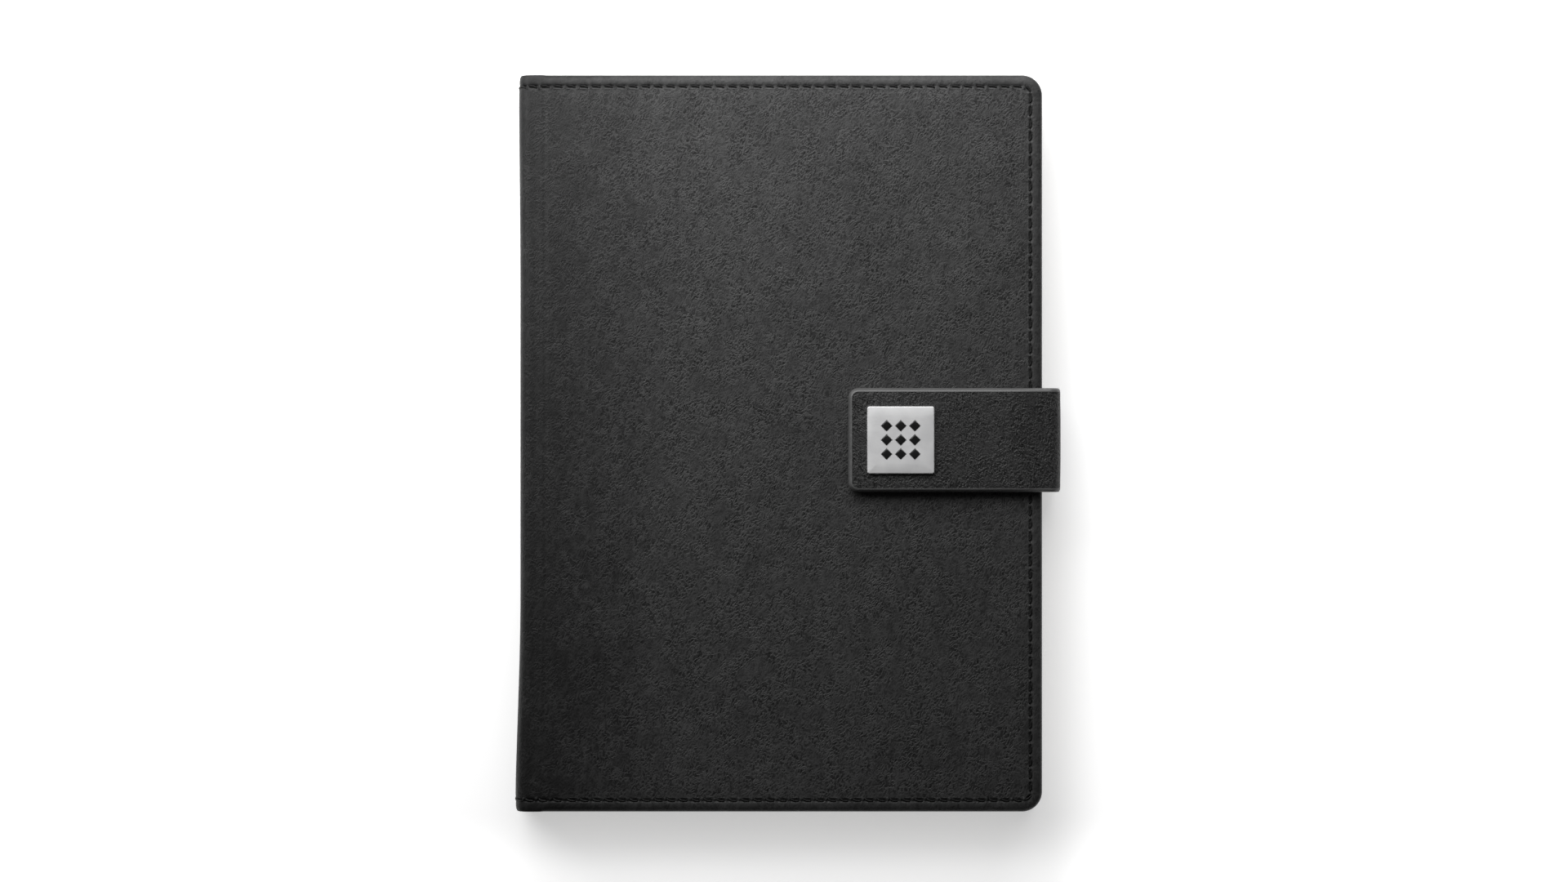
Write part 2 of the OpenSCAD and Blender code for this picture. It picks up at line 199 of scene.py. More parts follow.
strap_low, strap_high = node_box("strap_tab_outer")
RISER_X = node_box("strap_riser_outer")[1].x
BEND_R = 3.5
BEND_X = RISER_X - BEND_R
STRAP_T = 2.0
STRAP_OUTER_T = 1.1
STRAP_MID_Z = (node_box("strap_tongue")[0].z + COVER_T + 0.2 + STRAP_T) / 2
RISER_HALF = COVER_T + 0.2 + STRAP_T - BEND_R - STRAP_MID_Z
TAB_S = RISER_HALF + BEND_R * QUARTER
STRAP_HALF_W = (strap_high.y - strap_low.y) / 2
STRAP_Y = (strap_high.y + strap_low.y) / 2
TIP_S = TAB_S + BEND_X - strap_low.x
TAB_LIFT = strap_high.z - COVER_T - 0.2 - STRAP_T
STRAP_EDGE = 1.15
SLOPE_START_X = 82
SLOPE_L = 13

LOZENGE = 3.6
LOZENGE_PITCH = 4.2
FIELD = 6.6

RIM_TOLERANCE = 0.002


# ---- Small maths ----


def smooth(t):
    """From 0 to 1 as t does, starting and ending level."""
    t = min(max(t, 0.0), 1.0)
    return t * t * (3 - 2 * t)


def rolled(d, reach, power=2.0):
    """From 0 at an edge to 1 at reach inside it, along a quarter ellipse. More power makes it squarer."""
    t = min(max(d / reach, 0.0), 1.0)
    return (1 - (1 - t) ** power) ** (1 / power)


def hump(x, centre, width):
    return math.exp(-(((x - centre) / width) ** 2))


def steps(start, end, size):
    """Evenly spaced numbers from start to end, about size apart."""
    count = max(1, round((end - start) / size))
    return [start + (end - start) * i / count for i in range(count + 1)]


def inset_of(s, y, half_l, half_h, radius):
    """How far a point lies inside the edge of a rectangle with rounded corners."""
    across = abs(s) - half_l + radius
    along = abs(y) - half_h + radius
    return radius - math.hypot(max(across, 0), max(along, 0)) - min(max(across, along), 0)


# ---- Shader maths ----


class Value:
    """A shader socket that takes arithmetic: each operator adds a Math node."""

    def __init__(self, finish, socket):
        self.finish, self.socket = finish, socket

    def _join(self, operation, a, b):
        return self.finish.node("ShaderNodeMath", {"operation": operation}, {0: a, 1: b})

    def __add__(self, other):
        return self._join("ADD", self, other)

    def __sub__(self, other):
        return self._join("SUBTRACT", self, other)

    def __rsub__(self, other):
        return self._join("SUBTRACT", other, self)

    def __mul__(self, other):
        return self._join("MULTIPLY", self, other)

    __radd__ = __add__
    __rmul__ = __mul__


class Finish:
    """A material whose nodes are added one call at a time."""

    def __init__(self, name, **shader):
        self.material = bpy.data.materials.new(name)
        self.material.use_nodes = True
        self.tree = self.material.node_tree
        self.shader = self.tree.nodes["Principled BSDF"]
        for socket, value in shader.items():
            self.shader.inputs[socket.replace("_", " ")].default_value = value

    def node(self, kind, settings=None, sockets=None, out=0):
        """Adds a node, sets it, and gives or links its sockets. Returns one of its outputs."""
        made = self.tree.nodes.new(kind)
        for name, value in (settings or {}).items():
            setattr(made, name, value)
        for name, value in (sockets or {}).items():
            self.give(made.inputs[name], value)
        return Value(self, made.outputs[out])

    def give(self, socket, value):
        if isinstance(value, Value):
            self.tree.links.new(value.socket, socket)
        else:
            socket.default_value = value

    def set(self, name, value):
        self.give(self.shader.inputs[name], value)

    def lay(self):
        """The place on the flat sheet, in metres, which stays with the sheet however it is folded."""
        return self.node("ShaderNodeAttribute", {"attribute_name": "lay"}, out="Vector")

    def place(self):
        return self.node("ShaderNodeTexCoord", out="Object")

    def split(self, vector, axis):
        return self.node("ShaderNodeSeparateXYZ", sockets={"Vector": vector}, out=axis)

    def drawn_out(self, vector, stretch, degrees=0.0):
        """Turns a pattern by degrees about Z and draws it out by stretch along its own axes."""
        sockets = {"Vector": vector, "Rotation": (0, 0, math.radians(degrees)), "Scale": stretch}
        return self.node("ShaderNodeMapping", {"vector_type": "TEXTURE"}, sockets)

    def shifted(self, vector, offset, amount):
        """vector moved by a coloured noise, amount metres at most."""
        scaled = self.node(
            "ShaderNodeVectorMath", {"operation": "SCALE"}, {"Vector": offset, "Scale": amount}
        )
        return self.node("ShaderNodeVectorMath", {"operation": "ADD"}, {0: vector, 1: scaled})

    def noise(self, vector, size, detail=2.0, rough=0.5, out="Fac"):
        """Cloudy noise whose blotches are about size metres across."""
        sockets = {"Vector": vector, "Scale": 1 / size, "Detail": detail, "Roughness": rough}
        return self.node("ShaderNodeTexNoise", sockets=sockets, out=out)

    def cells(self, vector, size):
        """How far it is to the nearest of the points strewn about size metres apart."""
        return self.node("ShaderNodeTexVoronoi", {}, {"Vector": vector, "Scale": 1 / size}, out="Distance")

    def ramp(self, value, low, high, to_low=0.0, to_high=1.0):
        """value brought from low..high to to_low..to_high, smoothly and clamped."""
        sockets = {"Value": value, 1: low, 2: high, 3: to_low, 4: to_high}
        return self.node("ShaderNodeMapRange", {"interpolation_type": "SMOOTHSTEP"}, sockets)

    def mix(self, factor, a, b):
        made = self.tree.nodes.new("ShaderNodeMix")
        made.data_type = "RGBA"
        for index, value in ((0, factor), (6, a), (7, b)):
            self.give(made.inputs[index], value)
        return Value(self, made.outputs[2])

    def relief(self, height):
        """Gives the shader a bump from a height in millimetres."""
        made = self.node("ShaderNodeBump", sockets={"Height": height, "Distance": MM, "Strength": 1.0})
        self.set("Normal", made)


def grey(tone):
    return (tone, tone, tone, 1)


def leather(name, tone, grain=0.105, rough=0.5, cloud=0.34, cover=False):
    """Fine-grained leather: short slanting wrinkles and pores, in patches that are stronger or calmer.

    A cover is smoother where it is drawn round its edges, and rubbed smooth towards its spine, where painted shade
    also darkens it, most over the spine's fold.
    """
    f = Finish(name, Roughness=rough, Specular_IOR_Level=0.4)
    lay = f.lay()
    bent = f.shifted(lay, f.noise(lay, 0.003, 1, out="Color"), 0.0011)
    slanted = f.drawn_out(bent, (1, 1.6, 1), -24)
    swell = f.noise(slanted, 0.00072, 0.8, 0.45) - 0.5
    contour = f.node("ShaderNodeMath", {"operation": "ABSOLUTE"}, {0: swell})
    worms = f.ramp(contour, 0.0, 0.16, 1.0, 0.0)
    pits = f.ramp(f.cells(slanted, 0.0009), 0.1, 0.5)
    pores = f.noise(lay, 0.00018, 2, 0.6)
    clumps = f.noise(slanted, 0.0017, 2, 0.5) - 0.5
    clouds = f.noise(f.drawn_out(bent, (1, 1.6, 1)), 0.009, 4, 0.6) - 0.5
    broad = f.noise(lay, 0.04, 2, 0.5) - 0.5
    depth = f.ramp(f.noise(lay, 0.0065, 3, 0.6), 0.34, 0.6, 0.35, 1.0)
    tint = clouds * (2 * cloud) + broad * cloud + clumps * 1.1 + 1
    gloss = clouds
    if cover:
        inset = f.split(f.node("ShaderNodeAttribute", {"attribute_name": "face"}, out="Vector"), "Y")
        across = f.split(lay, "X")
        # Painted shade: darkens the cover's colour towards the spine; the same mask makes its grain shallower and its
        # leather smoother there.
        spine_shade_and_rub = f.ramp(across, 0.004, 0.07, 1.0, 0.0)
        # Painted shade over the spine's fold.
        fold_shade = f.ramp(across, 0.012, 0.028, 1.0, 0.0)
        depth = depth * f.ramp(inset, 0.0025, 0.0065, 0.4, 1.0) * (1 - spine_shade_and_rub * 0.45)
        tint = tint - spine_shade_and_rub * 0.62 - fold_shade * 0.1
        gloss = gloss - spine_shade_and_rub * 0.15
    wrinkles = (worms * 0.7 + pits * 0.45 - 0.75) * depth + (pores - 0.5) * 0.3
    f.relief(wrinkles * grain + clumps * (grain * 0.5))
    f.set("Base Color", f.mix(f.ramp(tint + wrinkles * 1.2, 0.0, 2.0), grey(0), grey(tone * 2)))
    f.set("Roughness", f.ramp(gloss + wrinkles * 0.25, -0.4, 1.3, rough + 0.06, rough - 0.2))
    return f.material


def edge_paint(name, tone):
    """Smooth painted strap edge, rubbed a little unevenly."""
    f = Finish(name, Roughness=0.42)
    lay = f.lay()
    streaks = f.noise(f.drawn_out(lay, (8, 1, 1)), 0.0012, 3)
    specks = f.noise(lay, 0.0004, 2)
    f.set("Base Color", f.mix(streaks, grey(tone * 0.75), grey(tone * 1.3)))
    f.set("Roughness", f.ramp(streaks, 0.3, 0.7, 0.36, 0.5))
    f.relief(streaks * 0.03 + specks * 0.012)
    return f.material


def thread_finish():
    """Waxed black thread, with the fibres of its plies."""
    f = Finish("waxed_thread", Roughness=0.55, Specular_IOR_Level=0.25)
    place = f.place()
    fibres = f.noise(place, 0.00012, 3, 0.7)
    f.set("Base Color", f.mix(fibres, grey(0.001), grey(0.007)))
    f.set("Roughness", f.ramp(fibres, 0.3, 0.7, 0.4, 0.6))
    f.relief(fibres * 0.05)
    return f.material


def paper():
    """Ivory leaves: faint ruled lines on their faces and the lines of single leaves on their edges."""
    f = Finish("ivory_paper", Roughness=0.82, Specular_IOR_Level=0.25)
    lay = f.lay()
    fibres = f.noise(lay, 0.0007, 4, 0.65)
    flecks = f.noise(lay, 0.006, 3)
    leaves = f.noise(f.drawn_out(lay, (900, 900, 1)), 0.0001, 2, 0.7)
    stock = f.mix(fibres * 0.5 + flecks * 0.5, (0.74, 0.68, 0.57, 1), (0.88, 0.84, 0.75, 1))
    edge = f.mix(f.ramp(leaves, 0.35, 0.65), (0.50, 0.44, 0.35, 1), (0.86, 0.80, 0.70, 1))
    along = f.split(lay, "Y")
    across = f.split(lay, "X")
    line = f.node("ShaderNodeMath", {"operation": "PINGPONG"}, {0: along, 1: 0.0035})
    ruled = f.ramp(line, 0.0, 0.00016, 1.0, 0.0)
    in_field = f.ramp(along, 0.082, 0.0822, 1.0, 0.0) * f.ramp(along, -0.0972, -0.097)
    in_field = in_field * f.ramp(across, 0.068, 0.0682, 1.0, 0.0)
    page = f.mix(ruled * in_field * 0.55, stock, (0.30, 0.36, 0.44, 1))
    facing = f.split(f.node("ShaderNodeAttribute", {"attribute_name": "face"}, out="Vector"), "X")
    f.set("Base Color", f.mix(facing, edge, page))
    f.relief(fibres * 0.012 + leaves * (1 - facing) * 0.07)
    return f.material


def pressed_card(name, tone):
    """Black card with a fine pressed weave."""
    f = Finish(name, Roughness=0.6)
    lay = f.lay()
    warp = f.noise(f.drawn_out(lay, (1, 12, 1)), 0.00035, 2)
    weft = f.noise(f.drawn_out(lay, (12, 1, 1)), 0.00035, 2)
    scuffs = f.noise(lay, 0.02, 5, 0.65)
    f.set("Base Color", f.mix(f.ramp(scuffs, 0.3, 0.75), grey(tone), grey(tone * 1.9)))
    f.set("Roughness", f.ramp(scuffs, 0.3, 0.7, 0.52, 0.68))
    f.relief((warp + weft) * 0.035)
    return f.material


def book_cloth():
    """Black cloth tape: a plain weave, each thread passing over and under the next."""
    f = Finish("book_cloth", Roughness=0.75, Sheen_Weight=0.25)
    lay = f.lay()
    pitch = 2 * math.pi / 0.0007
    warp = f.node("ShaderNodeMath", {"operation": "SINE"}, {0: f.split(lay, "X") * pitch})
    weft = f.node("ShaderNodeMath", {"operation": "SINE"}, {0: f.split(lay, "Y") * pitch})
    weave = warp * weft
    fuzz = f.noise(lay, 0.0003, 3)
    f.set("Base Color", f.mix(weave * 0.35 + fuzz * 0.6, grey(0.008), grey(0.035)))
    f.relief(weave * 0.05 + fuzz * 0.03)
    return f.material


def satin_silver():
    """Brushed and plated badge metal, with faint lines and finger haze."""
    f = Finish("satin_silver", Metallic=1.0)
    place = f.place()
    lines = f.noise(f.drawn_out(place, (40, 1, 1)), 0.00015, 3, 0.6)
    haze = f.noise(place, 0.004, 3)
    f.set("Base Color", f.mix(haze, (0.80, 0.80, 0.81, 1), (0.88, 0.88, 0.88, 1)))
    f.set("Roughness", f.ramp(lines * 0.5 + haze * 0.5, 0.3, 0.7, 0.56, 0.64))
    f.relief(lines * 0.004)
    return f.material


def plain_metal(name, tone, rough):
    """Bright metal with a faint haze, for the pieces that are hidden inside."""
    f = Finish(name, Metallic=1.0, Roughness=rough)
    haze = f.noise(f.place(), 0.003, 4)
    f.set("Base Color", f.mix(haze, grey(tone * 0.8), grey(tone * 1.1)))
    f.set("Roughness", f.ramp(haze, 0.3, 0.7, rough, rough * 1.5))
    f.relief(haze * 0.01)
    return f.material


def enamel():
    """Glossy black enamel."""
    f = Finish("black_enamel", Roughness=0.16, Coat_Weight=0.6)
    swirl = f.noise(f.place(), 0.002, 3)
    f.set("Base Color", f.mix(swirl, grey(0.006), grey(0.014)))
    f.set("Roughness", f.ramp(swirl, 0.3, 0.7, 0.12, 0.22))
    f.relief(swirl * 0.01)
    return f.material


def fibre_board():
    """Grey bookbinding board with flecks of pulp."""
    f = Finish("grey_board", Roughness=0.9)
    place = f.place()
    fibres = f.noise(place, 0.0012, 5, 0.7)
    flecks = f.ramp(f.cells(place, 0.002), 0.0, 0.2, 1.0, 0.0)
    base = f.mix(fibres, (0.24, 0.20, 0.16, 1), (0.42, 0.37, 0.30, 1))
    f.set("Base Color", f.mix(flecks * 0.5, base, (0.12, 0.10, 0.08, 1)))
    f.relief(fibres * 0.06)
    return f.material


def wadding():
    """Off-white wadding, in soft tufts."""
    f = Finish("wadding", Roughness=0.95, Sheen_Weight=0.3)
    puffs = f.noise(f.place(), 0.0016, 4, 0.7)
    f.set("Base Color", f.mix(puffs, (0.55, 0.55, 0.50, 1), (0.80, 0.80, 0.76, 1)))
    f.relief(puffs * 0.2)
    return f.material


# ---- Sheets ----


def turned(s, depth, straight, radius):
    """Where a strip has got to at s, depth inside its face: straight, a quarter turn, and straight on."""
    if s < straight:
        return depth, s
    turn = (s - straight) / radius
    if turn < QUARTER:
        reach = radius - depth
        return radius - reach * math.cos(turn), straight + reach * math.sin(turn)
    return radius + s - straight - radius * QUARTER, straight + radius - depth


def folded(edge_x, inwards, middle_z, upwards, straight, radius, middle_y=0.0):
    """A function that folds a point of a flat sheet into place. The sheet's outer face is at z = 0."""

    def place(s, y, z):
        across, along = turned(s, -z, straight, radius)
        return Vector((edge_x + inwards * across, middle_y + y, middle_z + upwards * along))

    return place


def level(middle_x, middle_y, z0):
    """A function that puts a flat sheet down as it is."""

    def place(s, y, z):
        return Vector((middle_x + s, middle_y + y, z0 + z))

    return place


def cut_across(bm, point, normal, **clear):
    """Cuts every face along a plane, and takes away one side of it if told to."""
    geometry = bm.verts[:] + bm.edges[:] + bm.faces[:]
    bmesh.ops.bisect_plane(bm, geom=geometry, dist=1e-5, plane_co=point, plane_no=normal, **clear)


def outline(half_l, half_h, near_r, far_r):
    """A flat rectangle about the origin, with near_r and far_r for the corners at its two ends."""
    bm = bmesh.new()
    bmesh.ops.create_grid(bm, x_segments=1, y_segments=1, size=1)
    bmesh.ops.scale(bm, vec=(half_l, half_h, 1), verts=bm.verts)
    for side, radius in ((-1, near_r), (1, far_r)):
        if radius == 0:
            continue
        corners = [v for v in bm.verts if abs(v.co.x - side * half_l) + abs(abs(v.co.y) - half_h) < 1e-3]
        bmesh.ops.bevel(
            bm, geom=corners, offset=radius, segments=9, profile=0.5, affect="VERTICES", material=-1
        )
    return bm


def divide_seam(bm, inset_at):
    """Divides the edges that run along the cover's seam, for the leather to pucker between stitches."""
    along = []
    for e in bm.edges:
        first, last = (inset_at(v.co) for v in e.verts)
        if abs(first - last) < 0.02 and abs(first - SEAM) < 0.9 and e.calc_length() > 1.2:
            along.append(e)
    bmesh.ops.subdivide_edges(bm, edges=along, cuts=7)


def sheet(bm, size, radii, rings, cuts, top, bottom, place, halved=False, paint=None, seam=False):
    """Adds a closed sheet to bm.

    size is half its length and half its width, and radii are its corners' near and far radius. A line of
    points runs at each of rings, which are distances from its edge, and at each of cuts, which are places
    along and across it. top and bottom give the height of its two faces from (distance inside the edge, s,
    y). A halved sheet keeps s > 0 only. paint gives a face's material index from the same three numbers
    and whether it is on top. seam divides the edges along the cover's seam.
    """
    half_l, half_h = size
    flat = outline(half_l, half_h, *radii)
    inner = flat.faces[:]
    reached = 0.0
    for ring in rings:
        bmesh.ops.inset_region(
            flat, faces=inner, thickness=ring - reached, use_boundary=True, use_even_offset=True
        )
        reached = ring
    for s in cuts[0]:
        cut_across(flat, (s, 0, 0), (1, 0, 0))
    for y in cuts[1]:
        cut_across(flat, (0, y, 0), (0, 1, 0))
    if halved:
        cut_across(flat, (0, 0, 0), (1, 0, 0), clear_inner=True)

    def inset_at(point):
        radius = radii[1] if point.x > 0 or halved else radii[0]
        return inset_of(point.x, point.y, half_l, half_h, radius)

    if seam:
        divide_seam(flat, inset_at)
    lay = flat.verts.layers.float_vector.new("lay")
    face_up = flat.verts.layers.float_vector.new("face")
    copied = bmesh.ops.duplicate(flat, geom=flat.faces[:])["geom"]
    under_faces = [g for g in copied if isinstance(g, bmesh.types.BMFace)]
    bmesh.ops.reverse_faces(flat, faces=under_faces)
    under = {g for g in copied if isinstance(g, bmesh.types.BMVert)}
    under_set = set(under_faces)

    if paint:
        for f in flat.faces:
            middle = f.calc_center_median()
            f.material_index = paint(inset_at(middle), middle.x, middle.y, f not in under_set)
    for v in flat.verts:
        s, y = v.co.xy
        d = inset_at(v.co)
        if d < RIM_TOLERANCE:
            d = 0.0
        z = (bottom if v in under else top)(d, s, y)
        v[lay] = Vector((s, y, z)) * MM
        v[face_up] = Vector((1.0 if d > 0.3 else 0.0, d * MM, 0))
        v.co = place(s, y, z)
    bmesh.ops.remove_doubles(flat, verts=flat.verts, dist=1e-4)
    if halved:
        bmesh.ops.holes_fill(flat, edges=[e for e in flat.edges if e.is_boundary], sides=0)
    bmesh.ops.recalc_face_normals(flat, faces=flat.faces)
    made = bpy.data.meshes.new("part")
    flat.to_mesh(made)
    flat.free()
    bm.from_mesh(made)
    bpy.data.meshes.remove(made)


def finished(name, bm, *materials, sharp=50):
    """Turns a bmesh in millimetres into a piece in metres, smooth except at its sharp edges."""
    bmesh.ops.scale(bm, vec=(MM, MM, MM), verts=bm.verts)
    for f in bm.faces:
        f.smooth = True
    for e in bm.edges:
        e.smooth = not (len(e.link_faces) == 2 and e.calc_face_angle() > math.radians(sharp))
    mesh = bpy.data.meshes.new(name)
    bm.to_mesh(mesh)
    bm.free()
    for material in materials:
        mesh.materials.append(material)
    piece = bpy.data.objects.new(name, mesh)
    bpy.context.scene.collection.objects.link(piece)
    return piece


def metres(x, y, z):
    return (x * MM, y * MM, z * MM)


# ---- Cover ----

front_fold = folded(-HALF_W, 1, COVER_T / 2, 1, SPINE_FLAT, FOLD_R)
back_fold = folded(-HALF_W, 1, COVER_T / 2, -1, SPINE_FLAT, FOLD_R)


def flared(place):
    """The spine spreads a little towards head and tail, where the leather is turned over twice."""

    def spread(s, y, z):
        point = place(s, y, z)
        reach = 1.7 if y < 0 else 0.5
        point.x -= reach * smooth((abs(y) - 45) / 75) * (1 - smooth((s - PANEL_S) / 14))
        return point

    return spread


def cover_thickness(s):
    """Thickness of the finished cover at s from the middle of the spine."""
    board = smooth((s - BOARD_S + 0.7) / 1.0)
    spine = 1 - smooth((s - SPINE_FLAT + 0.6) / 1.2)
    return HINGE_T + (PANEL_T - HINGE_T) * board + (SPINE_T - HINGE_T) * spine


FAR, WIDE = SKIN_L - SEAM, HALF_H - SEAM
TURN_S, TURN_Y = FAR - SEAM_CORNER + 0.5, WIDE - SEAM_CORNER + 0.5
ROW_S = round(TURN_S / PITCH)
ROW_Y = round(2 * TURN_Y / PITCH)


def pucker(s, y):
    """1 between two stitches of the cover's seam, falling to 0 along each stitch."""
    if SKIN_L - s < HALF_H - abs(y):
        phase = (y + TURN_Y) * ROW_Y / (2 * TURN_Y)
    else:
        phase = s * ROW_S / TURN_S
    return hump(abs(phase - round(phase)) * PITCH, 0, 0.45)


def skin_top(seed):
    def height(d, s, y):
        half = cover_thickness(s) / 2
        body = rolled(d, EDGE_REACH, 2.5)
        settled = -SHOULDER * math.exp(-max(d - SEAM, 0) / 1.7)
        groove = -GROOVE * hump(d, SEAM, 0.42)
        if abs(d - SEAM) < 1.4:
            between = pucker(s, y)
            groove += between * (0.85 * GROOVE * hump(d, SEAM, 0.42) + 0.36 * hump(d, SEAM + 0.3, 0.38))
        valley = -0.42 * hump(s, PANEL_S + 0.6, 2.4) - 0.16 * hump(s, BOARD_S - 0.3, 0.5)
        calm = smooth((d - SEAM) / 12) * smooth((s - BOARD_S) / 12)
        waves = 0.13 * noise.noise(Vector((s / 31, y / 38, seed)))
        waves += 0.05 * noise.noise(Vector((s / 12, y / 14, seed)))
        return -(half - SHOULDER) * (1 - body) + settled + groove + valley * body + waves * calm

    return height


def skin_bottom(d, s, y):
    thick = cover_thickness(s)
    return -thick / 2 - thick / 2 * rolled(d, 1.3) + 0.5 * smooth((d - LIP) / 0.25)


def lining_top(d, s, y):
    return -cover_thickness(s) + LINING_T / 2 + (LINING_T / 2) * rolled(d, 0.3)


def lining_bottom(d, s, y):
    pressed = 0.14 * hump(d, SEAM - LIP, 0.35)
    return -cover_thickness(s) + LINING_T / 2 * (1 - rolled(d, 0.3)) + pressed


EDGE_RINGS = (0.06, 0.17, 0.33, 0.55, 0.85, 1.2, 1.65, 2.2, 2.75)
SKIN_RINGS = EDGE_RINGS + (3.05, 3.25, 3.4, 3.5, 3.6, 3.75, 3.95, 4.25, 4.8, 5.6)
LINING_RINGS = (0.05, 0.15, 0.3, 1.3, 1.6, 1.75, 1.9, 2.05, 2.2, 2.6)
fold_cuts = steps(SPINE_FLAT - 1.2, PANEL_S + 0.6, 0.55) + steps(PANEL_S + 1.2, BOARD_S + 1.2, 0.4)
COVER_CUTS = (
    fold_cuts + [TURN_S * i / ROW_S for i in range(1, ROW_S + 1)],
    [TURN_Y * (2 * i / ROW_Y - 1) for i in range(ROW_Y + 1)],
)


def cover_skin(name, place, seed, material):
    bm = bmesh.new()
    sheet(
        bm, (SKIN_L, HALF_H), (CORNER_R, CORNER_R), SKIN_RINGS, COVER_CUTS,
        skin_top(seed), skin_bottom, flared(place), halved=True, seam=True,
    )
    return finished(name, bm, material)


def cover_lining(name, place, material):
    bm = bmesh.new()
    sheet(
        bm, (SKIN_L - LIP, HALF_H - LIP), (CORNER_R - LIP, CORNER_R - LIP), LINING_RINGS, COVER_CUTS,
        lining_top, lining_bottom, place, halved=True,
    )
    return finished(name, bm, material)


# ---- Stitches ----


def stitch_shape():
    """One stitch of two twisted plies along X. It dives at both ends and hooks to +Y at its start."""
    bm = bmesh.new()
    radius = THREAD_D / 2
    bmesh.ops.create_cone(bm, cap_ends=True, segments=8, radius1=radius, radius2=radius, depth=STITCH_L)
    along = [e for e in bm.edges if abs(e.verts[0].co.z - e.verts[1].co.z) > 1]
    bmesh.ops.subdivide_edges(bm, edges=along, cuts=6)
    bmesh.ops.rotate(bm, cent=(0, 0, 0), matrix=Matrix.Rotation(QUARTER, 3, "Y"), verts=bm.verts)
    for v in bm.verts:
        t = v.co.x / (STITCH_L / 2)
        angle = math.atan2(v.co.z, v.co.y)
        plies = 0.78 + 0.26 * abs(math.cos(angle - 2.2 * t))
        width = plies * (1 + 0.22 * smooth(-t * 1.4)) * (1 - 0.5 * abs(t) ** 5)
        v.co.y = v.co.y * width + 0.5 * smooth(-t * 1.1) - 0.14
        v.co.z = v.co.z * width * 0.9 - 0.45 * abs(t) ** 7
    made = bpy.data.meshes.new("stitch")
    bm.to_mesh(made)
    bm.free()
    return made


STITCH = stitch_shape()


def seam_row(start, end, count=0):
    """The middles and headings of the stitches between two points of a flat sheet."""
    way = Vector(end) - Vector(start)
    count = count or round(way.length / PITCH)
    heading = math.atan2(way.y, way.x)
    return [(Vector(start) + way * (i + 0.5) / count, heading) for i in range(count)]


def seam_round():
    """The cover's seam: along the tail, round the fore edge and back along the head."""
    corner_s = TURN_S - 0.5 + SEAM_CORNER * math.sin(math.pi / 4)
    corner_y = TURN_Y - 0.5 + SEAM_CORNER * math.sin(math.pi / 4)
    row = seam_row((0, -WIDE), (TURN_S, -WIDE), ROW_S)
    row.append((Vector((corner_s, -corner_y)), math.pi / 4))
    row += seam_row((FAR, -TURN_Y), (FAR, TURN_Y), ROW_Y)
    row.append((Vector((corner_s, corner_y)), 3 * math.pi / 4))
    return row + seam_row((TURN_S, WIDE), (0, WIDE), ROW_S)


def sew(bm, row, place, height, outwards=1):
    """Adds a stitch at each place of a row. height gives its middle above the sheet's outer face."""
    rng = random.Random(len(row))
    for middle, heading in row:
        s, y = middle
        z = height(s, y)
        ahead = Vector((math.cos(heading), math.sin(heading))) * 0.5
        along = (place(s + ahead.x, y + ahead.y, z) - place(s - ahead.x, y - ahead.y, z)).normalized()
        up = (place(s, y, z + 0.5) - place(s, y, z - 0.5)).normalized() * outwards
        side = up.cross(along)
        turn = Matrix((along, side, up)).transposed().to_4x4()
        lean = Matrix.Rotation(math.radians(rng.uniform(-6, 0)), 4, "Z")
        known = len(bm.verts)
        bm.from_mesh(STITCH)
        bm.verts.ensure_lookup_table()
        matrix = Matrix.Translation(place(s, y, z)) @ turn @ lean
        bmesh.ops.transform(bm, matrix=matrix, verts=bm.verts[known:])


def outer_thread(name, place, material):
    bm = bmesh.new()
    depth = -SHOULDER - GROOVE + THREAD_D * 0.44
    sew(bm, seam_round(), flared(place), lambda s, y: depth - 0.3 * hump(s, PANEL_S + 0.6, 2.4))
    return finished(name, bm, material, sharp=80)


def inner_thread(name, place, raised, material):
    """Stitches on the inside. raised gives the pockets' thickness over the lining at s."""
    bm = bmesh.new()
    sew(
        bm, seam_round(), place,
        lambda s, y: -cover_thickness(s) - raised(s) + 0.12, outwards=-1,
    )
    return finished(name, bm, material, sharp=80)


# ---- Pockets ----


def pocket_piece(name, node, radii, material):
    """A flat pocket on the front cover's inside, with its edges rolled and creased."""
    crease = 1.6
    low, high = node_box(node)
    half_l, half_h = (high.x - low.x) / 2, (high.y - low.y) / 2
    thick = high.z - low.z
    place = level((low.x + high.x) / 2, (low.y + high.y) / 2, high.z)

    def top(d, s, y):
        return -thick * 0.45 * (1 - rolled(d, 0.25))

    def bottom(d, s, y):
        pressed = 0.12 * hump(d, crease, 0.22)
        return -thick * 0.45 - thick * 0.55 * rolled(d, 0.35) + pressed

    bm = bmesh.new()
    rings = (0.05, 0.14, 0.3, crease - 0.3, crease - 0.12, crease, crease + 0.12, crease + 0.3)
    cuts = (steps(-half_l + 6, half_l - 6, 12), steps(-half_h + 6, half_h - 6, 12))
    sheet(bm, (half_l, half_h), radii, rings, cuts, top, bottom, place)
    return finished(name, bm, material)


